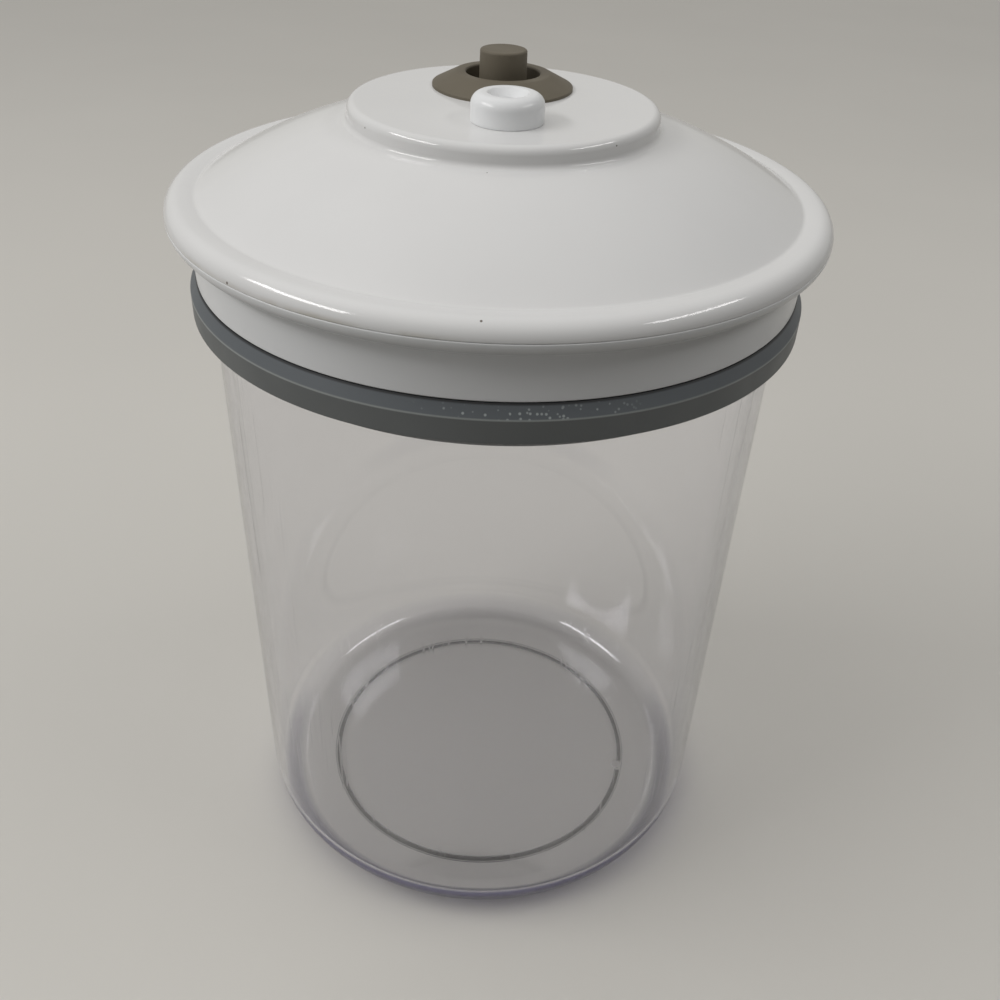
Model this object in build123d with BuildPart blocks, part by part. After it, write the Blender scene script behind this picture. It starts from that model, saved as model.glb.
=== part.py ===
from build123d import *
import math
import os

# A round vacuum canister: a clear body, a domed lid with a rubber gasket, a hose port with
# its one-way valve, and a sprung button that lets the air back in.
# Millimetres. Z points up from the face that the canister stands on, and Y points back.

# Clearances and overruns shared by all pieces
fit_gap = 0.1  # between pieces that are fixed together
seal_gap = 0.1  # under a seal that closes on its seat
slide_gap = 0.09  # radial, round a sliding stem
air_gap = 0.4  # radial, round a moving piece that touches nothing
overrun = 5.0  # how far a cut runs past the faces it goes through

# Canister body
body_height = 164.1
body_rim_radius = 68.2
body_base_radius = 66.9
body_wall = 2.6
body_floor = 2.6
body_corner = 11.9
body_rim_round = 0.8
foot_ring_inset = 6.9
foot_ring_width = 1.8
foot_recess = 0.6
foot_edge_round = 0.3
gate_notch_radius = 1.4
gate_notch_inset = 0.1
gate_notch_angle = -14.3  # degrees from X, seen from above

# Lid gasket, an inverted U that sits on the rim
gasket_lip = 1.2
gasket_lip_depth = 5.7
gasket_overlap = 1.2
rim_clearance = 0.8
gasket_flange = 3.6
gasket_band = 5.3
gasket_bevel = 2.8
gasket_bevel_inset = 1.7
gasket_tongue = 2.8
gasket_edge_round = 0.3

# Lid base: skirt, floor and the plug that enters the body
skirt_wall = 1.9
skirt_draft = 0.4
skirt_height = 14.6
skirt_edge_round = 0.4
plug_wall = 2.2
plug_depth = 6.0
lid_floor = 2.6
rim_overhang = 5.1
rim_lower_roll = 3.4
weld_rib_wall = 1.6
weld_rib_height = 0.7

# Lid cover: the rolled rim, a ledge inside it, the dome and the raised platform
cover_wall = 2.2
rim_upper_roll = 3.7
ledge_inset = 8.4
ledge_dip = 0.25
ledge_round = 1.5
dome_end_angle = 28.0  # degrees, where the dome runs down to the ledge
dome_rise = 14.0
platform_radius = 34.9
platform_height = 4.4
platform_round = 1.8
platform_foot_round = 1.2

# Release valve, behind the middle of the platform
valve_offset = 12.3
collar_radius = 16.3
collar_height = 3.3
collar_edge = 0.6
collar_shoulder_radius = 10.9
collar_shoulder_round = 1.2
collar_neck_radius = 9.8
collar_bead = 0.8
collar_bead_height = 1.4
well_radius = 8.5
well_lip_round = 0.5
well_depth = 6.4
well_floor = 1.4
button_radius = 5.4
button_draft = 0.2
button_rise = 4.9
button_length = 16.4
button_edge_round = 0.5
stem_radius = 2.2
stem_in_button = 11.0
chimney_radius = 7.0
chimney_wall = 1.8
guide_plate = 2.0
vent_radius = 0.9
vent_count = 6
inlet_radius = 4.2
seal_radius = 7.2
seal_thickness = 1.6
disc_radius = 6.6
disc_thickness = 1.6
clip_radius = 4.0
clip_thickness = 0.8
clip_groove_radius = 1.5
clip_mouth = 2.4
stem_tail = 1.3
spring_wire = 0.7
spring_radius = 3.4
spring_length = 9.4
spring_turns = 5
quarters = 4  # in each turn of the spring

# Hose port, in front of the middle of the platform
port_offset = 16.4
port_radius = 7.8
port_height = 5.8
port_round = 2.4
port_bore_radius = 2.6
port_mouth_radius = 4.4
port_mouth_depth = 1.7
port_neck_radius = 6.0
port_neck_length = 27.0
socket_wall = 1.8
socket_drop = 2.0
o_ring_section = 0.85
o_ring_depth = 9.5
o_ring_groove_radius = 4.3
check_radius = 4.6
check_thickness = 1.2
check_crown = 0.7
check_stem_radius = 1.0
check_stem_gap = 0.3
check_bulb_radius = 1.9
check_bulb_length = 1.4
check_lift = 1.0
check_spare = 0.2
check_hole_radius = 0.75
check_hole_count = 6

# Radii, from the body's wall outwards and inwards
foot_outer_radius = body_base_radius - body_corner - foot_ring_inset
foot_inner_radius = foot_outer_radius - foot_ring_width
body_inner_radius = body_rim_radius - body_wall
gasket_lip_radius = body_inner_radius - air_gap
gasket_inner_radius = gasket_lip_radius - gasket_lip
gasket_groove_radius = body_rim_radius + rim_clearance
gasket_radius = gasket_groove_radius + gasket_flange
plug_radius = gasket_inner_radius - fit_gap
skirt_radius = gasket_radius - gasket_bevel_inset
skirt_inner_radius = skirt_radius - skirt_wall
tongue_radius = skirt_inner_radius - fit_gap
rim_radius = skirt_radius + rim_overhang
roll_middle_radius = rim_radius - rim_lower_roll
crest_radius = rim_radius - rim_upper_roll
ledge_radius = rim_radius - ledge_inset
dome_foot_radius = platform_radius + platform_foot_round
well_hole_radius = button_radius + button_draft + air_gap
vent_ring_radius = (chimney_radius + spring_radius + spring_wire / 2) / 2
socket_radius = port_neck_radius + fit_gap
o_ring_radius = o_ring_groove_radius + o_ring_section
check_ring_radius = (check_radius + check_stem_radius + check_stem_gap) / 2

# Heights, from the table up
gasket_roof = body_height + seal_gap
gasket_foot = body_height - gasket_overlap
gasket_edge = gasket_foot + gasket_band
gasket_shoulder = gasket_edge + gasket_bevel
gasket_top = gasket_shoulder + gasket_tongue
skirt_foot = gasket_shoulder + fit_gap
floor_under = gasket_top + fit_gap
floor_top = floor_under + lid_floor
parting = skirt_foot + skirt_height
crest = parting + rim_upper_roll
ledge = crest - ledge_dip
fall = math.radians(dome_end_angle)
dome_foot = ledge + dome_rise
platform_top = dome_foot + platform_height
platform_under = platform_top - cover_wall
collar_top = platform_top + collar_height
button_top = collar_top + button_rise
button_foot = button_top - button_length
guide_top = button_foot - spring_length
spring_pitch = (spring_length - spring_wire) / spring_turns
neck_foot = collar_top - well_depth - well_floor
chimney_top = neck_foot - fit_gap
bead_top = platform_under - fit_gap
seal_top = floor_under - seal_gap
disc_top = seal_top - seal_thickness
clip_top = disc_top - disc_thickness
clip_foot = clip_top - clip_thickness
stem_foot = clip_foot - stem_tail
port_top = platform_top + port_height
port_foot = platform_top - port_neck_length
o_ring_height = platform_top - o_ring_depth
check_seat = floor_top + seal_gap
bulb_top = floor_under - check_lift - check_spare

# The body's walls lean outwards, so an inner radius follows the height
wall_lean = (body_rim_radius - body_base_radius) / body_height
floor_height = foot_recess + body_floor
inner_base_radius = body_base_radius + wall_lean * floor_height - body_wall

valve_place = Plane((0, valve_offset, 0))
port_place = Plane((0, -port_offset, 0))
valve_section = Plane(origin=(0, valve_offset, 0), x_dir=(1, 0, 0), z_dir=(0, -1, 0))
port_section = Plane(origin=(0, -port_offset, 0), x_dir=(1, 0, 0), z_dir=(0, -1, 0))
valve_axis = Axis((0, valve_offset, 0), (0, 0, 1))
port_axis = Axis((0, -port_offset, 0), (0, 0, 1))


def round_corners(sketch, corners, radius):
    """Round the corners of a sketch that lie nearest to the given points."""
    for corner in corners:
        nearest = sketch.vertices().sort_by_distance(Vector(*corner))[0]
        fillet(nearest, radius)


def helix_point(turns):
    """A point on the spring's line and the direction of the wire there."""
    angle = 2 * math.pi * turns
    height = guide_top + spring_wire / 2 + spring_pitch * turns
    place = Vector(spring_radius * math.cos(angle), valve_offset + spring_radius * math.sin(angle), height)
    slope = spring_pitch / (2 * math.pi)
    direction = Vector(-spring_radius * math.sin(angle), spring_radius * math.cos(angle), slope)
    return place, direction.normalized()


def spring_line():
    """Draw the spring's middle line as two tangent arcs for each quarter of a turn."""
    for quarter in range(spring_turns * quarters):
        start, leave = helix_point(quarter / quarters)
        end, arrive = helix_point((quarter + 1) / quarters)
        chord = end - start
        both = leave + arrive
        bend = 1 - leave.dot(arrive)
        root = math.sqrt(chord.dot(both) ** 2 + 2 * bend * chord.dot(chord))
        reach = (root - chord.dot(both)) / (2 * bend)
        joint = (start + leave * reach + end - arrive * reach) * 0.5
        TangentArc(start, joint, tangent=leave)
        TangentArc(joint, end, tangent=joint - start - leave * reach)


# Clear body, open at the top, standing on a narrow ring under its floor
with BuildPart() as canister_body:
    with BuildSketch(Plane.XZ) as body_sketch:
        with BuildLine():
            Polyline(
                (0, foot_recess),
                (foot_inner_radius, foot_recess),
                (foot_inner_radius, 0),
                (foot_outer_radius, 0),
                (foot_outer_radius, foot_recess),
                (body_base_radius, foot_recess),
                (body_rim_radius, body_height),
                (body_inner_radius, body_height),
                (inner_base_radius, floor_height),
                (0, floor_height),
                close=True,
            )
        make_face()
        round_corners(body_sketch, [(body_base_radius, foot_recess)], body_corner)
        round_corners(body_sketch, [(inner_base_radius, floor_height)], body_corner - body_wall)
        ring_corners = [(foot_inner_radius, 0), (foot_outer_radius, 0)]
        round_corners(body_sketch, ring_corners, foot_edge_round)
        rim_corners = [(body_rim_radius, body_height), (body_inner_radius, body_height)]
        round_corners(body_sketch, rim_corners, body_rim_round)
    revolve(axis=Axis.Z)
    with BuildSketch(Plane.XY):
        with PolarLocations(foot_inner_radius - gate_notch_inset, 1, start_angle=gate_notch_angle):
            Circle(gate_notch_radius)
    extrude(amount=foot_recess, mode=Mode.SUBTRACT)

# Rubber gasket: it hangs on both sides of the rim, and its tongue fills the lid's groove
with BuildPart() as lid_gasket:
    with BuildSketch(Plane.XZ) as gasket_sketch:
        with BuildLine():
            Polyline(
                (gasket_inner_radius, gasket_roof - gasket_lip_depth),
                (gasket_lip_radius, gasket_roof - gasket_lip_depth),
                (gasket_lip_radius, gasket_roof),
                (gasket_groove_radius, gasket_roof),
                (gasket_groove_radius, gasket_foot),
                (gasket_radius, gasket_foot),
                (gasket_radius, gasket_edge),
                (skirt_radius, gasket_shoulder),
                (tongue_radius, gasket_shoulder),
                (tongue_radius, gasket_top),
                (gasket_inner_radius, gasket_top),
                close=True,
            )
        make_face()
        outer_corners = [(gasket_radius, gasket_foot), (gasket_radius, gasket_edge)]
        round_corners(gasket_sketch, outer_corners, gasket_edge_round)
        lip_corner = [(gasket_lip_radius, gasket_roof - gasket_lip_depth)]
        round_corners(gasket_sketch, lip_corner, gasket_edge_round)
    revolve(axis=Axis.Z)

# Lid base: plug, gasket groove, skirt, lower half of the rolled rim, and the floor that
# carries the chimney of the release valve and the socket of the port
with BuildPart() as lid_base:
    with BuildSketch(Plane.XZ) as base_sketch:
        with BuildLine():
            under = Polyline(
                (0, floor_under),
                (plug_radius - plug_wall, floor_under),
                (plug_radius - plug_wall, body_height - plug_depth),
                (plug_radius, body_height - plug_depth),
                (plug_radius, floor_under),
                (skirt_inner_radius, floor_under),
                (skirt_inner_radius, skirt_foot),
                (skirt_radius, skirt_foot),
                (skirt_radius + skirt_draft, parting - rim_lower_roll),
                (roll_middle_radius, parting - rim_lower_roll),
            )
            RadiusArc(under @ 1, (rim_radius, parting), -rim_lower_roll)
            Polyline(
                (rim_radius, parting),
                (rim_radius - cover_wall - fit_gap, parting),
                (rim_radius - cover_wall - fit_gap, parting + weld_rib_height),
                (rim_radius - cover_wall - fit_gap - weld_rib_wall, parting + weld_rib_height),
                (skirt_inner_radius, parting),
                (skirt_inner_radius, floor_top),
                (0, floor_top),
                (0, floor_under),
            )
        make_face()
        foot_corners = [(skirt_radius, skirt_foot), (plug_radius, body_height - plug_depth)]
        round_corners(base_sketch, foot_corners, skirt_edge_round)
    revolve(axis=Axis.Z)
    with BuildSketch(valve_place.offset(floor_top)):
        Circle(chimney_radius + chimney_wall)
    extrude(amount=chimney_top - floor_top)
    with BuildSketch(valve_place.offset(guide_top)):
        Circle(chimney_radius)
    extrude(amount=chimney_top - guide_top + overrun, mode=Mode.SUBTRACT)
    with BuildSketch(valve_place.offset(floor_top)):
        Circle(chimney_radius)
    extrude(amount=guide_top - guide_plate - floor_top, mode=Mode.SUBTRACT)
    with BuildSketch(valve_place.offset(guide_top)):
        Circle(stem_radius + slide_gap)
        with PolarLocations(vent_ring_radius, vent_count):
            Circle(vent_radius)
    extrude(amount=-guide_plate - overrun, mode=Mode.SUBTRACT)
    with BuildSketch(valve_place.offset(floor_top)):
        Circle(inlet_radius)
    extrude(amount=-lid_floor - overrun, mode=Mode.SUBTRACT)
    with BuildSketch(port_place.offset(floor_top)):
        Circle(socket_radius + socket_wall)
    extrude(amount=platform_under - socket_drop - floor_top)
    with BuildSketch(port_place.offset(floor_top)):
        Circle(socket_radius)
    extrude(amount=platform_under - floor_top, mode=Mode.SUBTRACT)
    with BuildSketch(port_place.offset(floor_top)):
        Circle(check_stem_radius + check_stem_gap)
        with PolarLocations(check_ring_radius, check_hole_count):
            Circle(check_hole_radius)
    extrude(amount=-lid_floor - overrun, mode=Mode.SUBTRACT)

# Lid cover: upper half of the rolled rim, the ledge, the dome and the platform
with BuildPart() as lid_cover:
    with BuildSketch(Plane.XZ) as cover_sketch:
        with BuildLine():
            side = Polyline(
                (0, platform_top),
                (platform_radius, platform_top),
                (platform_radius, dome_foot + platform_foot_round),
            )
            TangentArc(side @ 1, (dome_foot_radius, dome_foot), tangent=(0, -1))
            TangentArc(
                (ledge_radius, ledge),
                (dome_foot_radius, dome_foot),
                tangent=(-math.cos(fall), math.sin(fall)),
            )
            TangentArc((crest_radius, crest), (ledge_radius, ledge), tangent=(-1, 0))
            TangentArc((crest_radius, crest), (rim_radius, parting), tangent=(1, 0))
            Polyline(
                (rim_radius, parting),
                (rim_radius - cover_wall, parting),
                (rim_radius - cover_wall, crest - cover_wall),
                (ledge_radius, ledge - cover_wall),
            )
            TangentArc(
                (ledge_radius, ledge - cover_wall),
                (platform_radius, dome_foot - cover_wall),
                tangent=(-math.cos(fall), math.sin(fall)),
            )
            Polyline(
                (platform_radius, dome_foot - cover_wall),
                (platform_radius - cover_wall, dome_foot - cover_wall),
                (platform_radius - cover_wall, platform_under),
                (0, platform_under),
                (0, platform_top),
            )
        make_face()
        round_corners(cover_sketch, [(platform_radius, platform_top)], platform_round)
        round_corners(cover_sketch, [(ledge_radius, ledge)], ledge_round)
    revolve(axis=Axis.Z)
    with BuildSketch(valve_place.offset(platform_under)):
        Circle(collar_neck_radius + fit_gap)
    extrude(amount=cover_wall + overrun, mode=Mode.SUBTRACT)
    with BuildSketch(port_place.offset(platform_under)):
        Circle(socket_radius)
    extrude(amount=cover_wall + overrun, mode=Mode.SUBTRACT)

# Soft collar of the release valve: a low cone with a well, clipped into the platform
with BuildPart() as valve_collar:
    with BuildSketch(valve_section) as collar_sketch:
        with BuildLine():
            Polyline(
                (collar_neck_radius, platform_top),
                (collar_radius, platform_top),
                (collar_radius, platform_top + collar_edge),
                (collar_shoulder_radius, collar_top),
                (well_radius, collar_top),
                (well_radius, collar_top - well_depth),
                (well_hole_radius, collar_top - well_depth),
                (well_hole_radius, neck_foot),
                (collar_neck_radius, neck_foot),
                (collar_neck_radius, bead_top - collar_bead_height),
                (collar_neck_radius + collar_bead, bead_top),
                (collar_neck_radius, bead_top),
                close=True,
            )
        make_face()
        round_corners(collar_sketch, [(collar_shoulder_radius, collar_top)], collar_shoulder_round)
        round_corners(collar_sketch, [(well_radius, collar_top)], well_lip_round)
    revolve(axis=valve_axis)

# Button cap, pushed onto the top of the stem
with BuildPart() as release_button:
    with BuildSketch(valve_section) as button_sketch:
        with BuildLine():
            Polyline(
                (0, button_top),
                (button_radius, button_top),
                (button_radius + button_draft, button_foot),
                (stem_radius + fit_gap, button_foot),
                (stem_radius + fit_gap, button_foot + stem_in_button),
                (0, button_foot + stem_in_button),
                close=True,
            )
        make_face()
        round_corners(button_sketch, [(button_radius, button_top)], button_edge_round)
    revolve(axis=valve_axis)

# Stem that runs from the button through the guide plate and the floor's inlet
with BuildPart() as valve_stem:
    with BuildSketch(valve_section):
        with BuildLine():
            Polyline(
                (0, button_foot + stem_in_button - fit_gap),
                (stem_radius, button_foot + stem_in_button - fit_gap),
                (stem_radius, clip_top),
                (clip_groove_radius, clip_top),
                (clip_groove_radius, clip_foot),
                (stem_radius, clip_foot),
                (stem_radius, stem_foot),
                (0, stem_foot),
                close=True,
            )
        make_face()
    revolve(axis=valve_axis)

# Return spring, round the stem between the guide plate and the button
with BuildPart() as return_spring:
    with BuildLine() as coil:
        spring_line()
    coil_start, coil_direction = helix_point(0)
    with BuildSketch(Plane(origin=coil_start, z_dir=coil_direction)):
        Circle(spring_wire / 2)
    sweep(path=coil.wires()[0])

# Rubber ring that closes the inlet from below
with BuildPart() as valve_seal:
    with BuildSketch(valve_place.offset(disc_top)):
        Circle(seal_radius)
        Circle(stem_radius + fit_gap, mode=Mode.SUBTRACT)
    extrude(amount=seal_thickness)

# Stiff disc that carries the rubber ring
with BuildPart() as valve_disc:
    with BuildSketch(valve_place.offset(clip_top)):
        Circle(disc_radius)
        Circle(stem_radius + fit_gap, mode=Mode.SUBTRACT)
    extrude(amount=disc_thickness)

# Open spring clip in the stem's groove
with BuildPart() as retaining_clip:
    with BuildSketch(valve_place.offset(clip_foot)):
        Circle(clip_radius)
        Circle(clip_groove_radius + fit_gap, mode=Mode.SUBTRACT)
        with Locations((clip_radius, 0)):
            Rectangle(2 * clip_radius, clip_mouth, mode=Mode.SUBTRACT)
    extrude(amount=clip_thickness)

# Hose port: a rounded nipple on the platform, with a neck in the lid base's socket
with BuildPart() as vacuum_port:
    with BuildSketch(port_section) as port_sketch:
        with BuildLine():
            Polyline(
                (port_bore_radius, port_foot),
                (port_neck_radius, port_foot),
                (port_neck_radius, o_ring_height - o_ring_section - fit_gap),
                (o_ring_groove_radius, o_ring_height - o_ring_section - fit_gap),
                (o_ring_groove_radius, o_ring_height + o_ring_section + fit_gap),
                (port_neck_radius, o_ring_height + o_ring_section + fit_gap),
                (port_neck_radius, platform_top),
                (port_radius, platform_top),
                (port_radius, port_top),
                (port_mouth_radius, port_top),
                (port_bore_radius, port_top - port_mouth_depth),
                close=True,
            )
        make_face()
        round_corners(port_sketch, [(port_radius, port_top)], port_round)
    revolve(axis=port_axis)

# Rubber ring in the neck's groove
with BuildPart() as port_o_ring:
    with BuildSketch(port_section):
        with Locations((o_ring_radius, o_ring_height)):
            Circle(o_ring_section)
    revolve(axis=port_axis)

# One-way valve: a rubber cap over a ring of small holes, held by its bulb
with BuildPart() as check_valve:
    with BuildSketch(port_section):
        with BuildLine():
            cap = Polyline(
                (0, bulb_top - check_bulb_length),
                (check_bulb_radius - check_stem_radius, bulb_top - check_bulb_length),
                (check_bulb_radius, bulb_top),
                (check_stem_radius, bulb_top),
                (check_stem_radius, check_seat),
                (check_radius, check_seat),
                (check_radius, check_seat + check_thickness - check_crown),
            )
            crown = TangentArc((0, check_seat + check_thickness), cap @ 1, tangent=(1, 0))
            Line(cap @ 0, crown @ 0)
        make_face()
    revolve(axis=port_axis)

pieces = {
    "canister_body": canister_body,
    "lid_gasket": lid_gasket,
    "lid_base": lid_base,
    "lid_cover": lid_cover,
    "valve_collar": valve_collar,
    "release_button": release_button,
    "valve_stem": valve_stem,
    "return_spring": return_spring,
    "valve_seal": valve_seal,
    "valve_disc": valve_disc,
    "retaining_clip": retaining_clip,
    "vacuum_port": vacuum_port,
    "port_o_ring": port_o_ring,
    "check_valve": check_valve,
}
os.makedirs("parts", exist_ok=True)
for name, piece in pieces.items():
    piece.part.label = name
    export_step(piece.part, f"parts/{name}.step")

print("spring: least gap to itself", round(spring_pitch - spring_wire, 2), "mm at rest")
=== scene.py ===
"""Finished surfaces of a vacuum canister, built around its fixed frame. Lengths are in metres."""

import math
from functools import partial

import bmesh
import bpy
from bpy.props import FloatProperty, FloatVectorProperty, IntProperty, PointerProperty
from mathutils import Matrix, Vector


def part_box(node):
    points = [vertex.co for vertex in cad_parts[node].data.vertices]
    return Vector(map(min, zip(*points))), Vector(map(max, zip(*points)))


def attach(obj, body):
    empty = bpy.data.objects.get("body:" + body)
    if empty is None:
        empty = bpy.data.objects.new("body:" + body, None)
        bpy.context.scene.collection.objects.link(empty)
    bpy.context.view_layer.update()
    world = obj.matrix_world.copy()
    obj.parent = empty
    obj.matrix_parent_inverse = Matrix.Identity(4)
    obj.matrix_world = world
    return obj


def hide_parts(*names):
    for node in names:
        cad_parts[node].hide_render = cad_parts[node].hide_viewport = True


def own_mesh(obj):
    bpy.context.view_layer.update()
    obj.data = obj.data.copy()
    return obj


bl_info = {
    "name": "Vacuum canister looks",
    "version": (1, 0, 0),
    "blender": (4, 5, 0),
    "location": "3D View > Sidebar > Canister",
    "description": "Builds the clear body, the white lid and the valves of a vacuum canister",
    "category": "Object",
}

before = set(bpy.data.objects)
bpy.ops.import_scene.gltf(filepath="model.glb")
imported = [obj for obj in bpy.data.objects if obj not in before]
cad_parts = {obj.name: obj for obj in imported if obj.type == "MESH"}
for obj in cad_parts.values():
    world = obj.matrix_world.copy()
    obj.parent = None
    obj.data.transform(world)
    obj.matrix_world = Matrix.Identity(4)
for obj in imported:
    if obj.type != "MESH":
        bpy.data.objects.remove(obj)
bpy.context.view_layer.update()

# What the frame says about places and overall sizes
body_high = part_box("canister_body")[1]
cover_low, cover_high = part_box("lid_cover")
base_low, base_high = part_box("lid_base")
gasket_low, gasket_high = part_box("lid_gasket")
collar_low, collar_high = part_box("valve_collar")
button_low, button_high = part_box("release_button")
port_low, port_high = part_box("vacuum_port")
o_ring_low, o_ring_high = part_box("port_o_ring")
spring_low, spring_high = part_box("return_spring")
valve_y = (collar_low.y + collar_high.y) / 2
port_y = (port_low.y + port_high.y) / 2
parting = cover_low.z
platform_top = cover_high.z
rim_radius = cover_high.x

# Overlap of joined shapes and reach of cutting shapes
sink = 0.0004
overrun = 0.004

# How finely round shapes are divided
around_large = 256
around_small = 96
arc_step = math.radians(7.5)
least_arc_steps = 4
straight_length = 0.003
support_distance = 0.0003
sharp_angle = math.radians(40)

# Shared by the scratches of all materials: how long they are for their width, and their soft edge
scratch_across = 34.0
scratch_edge = 0.03

# Colours of small marks, and of painted shadow, shade and highlight, that no setting holds
no_tint = (1.0, 1.0, 1.0, 1.0)
# Painted contact shadow on the standing ring
ring_shadow_colour = (0.03, 0.03, 0.036, 1.0)
speck_brown = (0.16, 0.14, 0.12, 1.0)
grime_yellow = (0.5, 0.46, 0.37, 1.0)
# Painted highlight along the gasket's edge
edge_highlight_grey = (0.36, 0.38, 0.37, 1.0)
# Painted shade on the gasket's upward bevel
bevel_shade_grey = (0.125, 0.139, 0.151, 1.0)
dust_grey = (0.4, 0.43, 0.43, 1.0)
shadow_dark = (0.02, 0.02, 0.022, 1.0)

# Small dark specks on the lid: place and radius
lid_specks = (
    ((-0.0295, -0.0186, 0.2059), 0.00014),
    ((0.0219, -0.0271, 0.2062), 0.00014),
    ((-0.0045, -0.0364, 0.2029), 0.00012),
    ((-0.0059, -0.0737, 0.189), 0.0002),
    ((-0.0536, -0.0538, 0.1863), 0.00022),
)


def bend(start, end, heading):
    """Points on the round arc that leaves start along the heading and reaches end."""
    leave = Vector((math.cos(heading), math.sin(heading)))
    chord = end - start
    half = math.atan2(leave.cross(chord), leave.dot(chord))
    fine = math.ceil(2 * chord.length / straight_length)
    steps = max(least_arc_steps, math.ceil(abs(2 * half) / arc_step), fine)
    points = []
    for step in range(1, steps + 1):
        share = step / steps
        turn = heading + half * share
        reach = chord.length * math.sin(half * share) / math.sin(half)
        points.append(start + Vector((math.cos(turn), math.sin(turn))) * reach)
    return points


class Section:
    """Half of a turned piece's cross-section, as points of radius and height."""

    def __init__(self, radius, height, rounding=0.0):
        self.corners = [(Vector((radius, height)), rounding)]

    def to(self, radius, height, rounding=0.0):
        """Go straight to a point, whose corner may be rounded."""
        self.corners.append((Vector((radius, height)), rounding))

    def arc(self, radius, height, heading):
        """Go to a point along a round arc that leaves with a heading in degrees."""
        points = bend(self.corners[-1][0], Vector((radius, height)), math.radians(heading))
        self.corners += [(point, 0.0) for point in points]

    def arc_arriving(self, radius, height, heading, rounding=0.0):
        """Go along a round arc to a point, and arrive there with a heading in degrees."""
        start = self.corners[-1][0]
        points = bend(Vector((radius, height)), start, math.radians(heading) + math.pi)
        self.corners += [(point, 0.0) for point in reversed(points[:-1])]
        self.to(radius, height, rounding)

    def rounded(self):
        """The points with each corner that asks for it turned into a small arc."""
        points = []
        for place, (here, rounding) in enumerate(self.corners):
            if not rounding:
                points.append(here)
                continue
            before = self.corners[place - 1][0] - here
            after = self.corners[(place + 1) % len(self.corners)][0] - here
            reach = rounding / math.tan(before.angle(after) / 2)
            start = here + before.normalized() * reach
            end = here + after.normalized() * reach
            points.append(start)
            points += bend(start, end, math.atan2(-before.y, -before.x))
        return points

    def on_axis(self):
        """Whether the section starts and ends on the axis, and so makes a solid piece."""
        return self.corners[0][0].x == 0 and self.corners[-1][0].x == 0

    def supported(self):
        """The rounded points with one more near each end of a long straight stretch."""
        points = self.rounded()
        ends = [] if self.on_axis() else points[:1]
        held = []
        for here, after in zip(points, points[1:] + ends):
            held.append(here)
            stretch = after - here
            if stretch.length > straight_length:
                held.append(here + stretch.normalized() * support_distance)
                held.append(after - stretch.normalized() * support_distance)
        return held + points[-1:] if self.on_axis() else held


def linked(name, data):
    """A new object that is part of the scene."""
    piece = bpy.data.objects.new(name, data)
    bpy.context.scene.collection.objects.link(piece)
    return piece


def turned(name, section, y=0.0, around=around_small):
    """Turn a section round the upright axis at y and return the new object."""
    mesh_maker = bmesh.new()
    rings = []
    for radius, height in section.supported():
        ring = []
        for step in range(around if radius > 0 else 1):
            turn = 2 * math.pi * step / around
            place = (radius * math.cos(turn), y + radius * math.sin(turn), height)
            ring.append(mesh_maker.verts.new(place))
        rings.append(ring)
    ends = [] if section.on_axis() else rings[:1]
    for lower, upper in zip(rings, rings[1:] + ends):
        for step in range(around):
            after = (step + 1) % around
            places = [(lower, step), (lower, after), (upper, after), (upper, step)]
            corners = [ring[place % len(ring)] for ring, place in places]
            mesh_maker.faces.new(list(dict.fromkeys(corners)))
    bmesh.ops.recalc_face_normals(mesh_maker, faces=mesh_maker.faces)
    mesh = bpy.data.meshes.new(name)
    mesh_maker.to_mesh(mesh)
    mesh_maker.free()
    return linked(name, mesh)


def rod(radius, low, high, x=0.0, y=0.0):
    """A plain round rod for joining to a piece or cutting from it."""
    section = Section(0.0, low)
    section.to(radius, low)
    section.to(radius, high)
    section.to(0.0, high)
    piece = turned("rod", section, y)
    piece.data.transform(Matrix.Translation((x, 0.0, 0.0)))
    return piece


def ring_of_rods(count, ring, radius, low, high, y):
    """Equal rods, evenly spaced on a circle round the upright axis at y."""
    turns = [2 * math.pi * step / count for step in range(count)]
    return [
        rod(radius, low, high, ring * math.cos(turn), y + ring * math.sin(turn)) for turn in turns
    ]


def combine(piece, tools, operation):
    """Join tools to a piece or cut them from it, and remove the tools."""
    for tool in tools:
        modifier = piece.modifiers.new("combine", "BOOLEAN")
        modifier.object = tool
        modifier.operation = operation
        modifier.solver = "EXACT"
    bpy.context.view_layer.update()
    shaped = piece.evaluated_get(bpy.context.evaluated_depsgraph_get())
    mesh = bpy.data.meshes.new_from_object(shaped)
    piece.modifiers.clear()
    piece.data = mesh
    for tool in tools:
        bpy.data.objects.remove(tool)


def finish_piece(piece, body, node, material):
    """Smooth a piece, give it its material and set it on the body in place of a node."""
    for face in piece.data.polygons:
        face.use_smooth = True
    piece.data.set_sharp_from_angle(angle=sharp_angle)
    piece.data.materials.clear()
    piece.data.materials.append(material)
    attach(piece, body)
    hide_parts(node)


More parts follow.
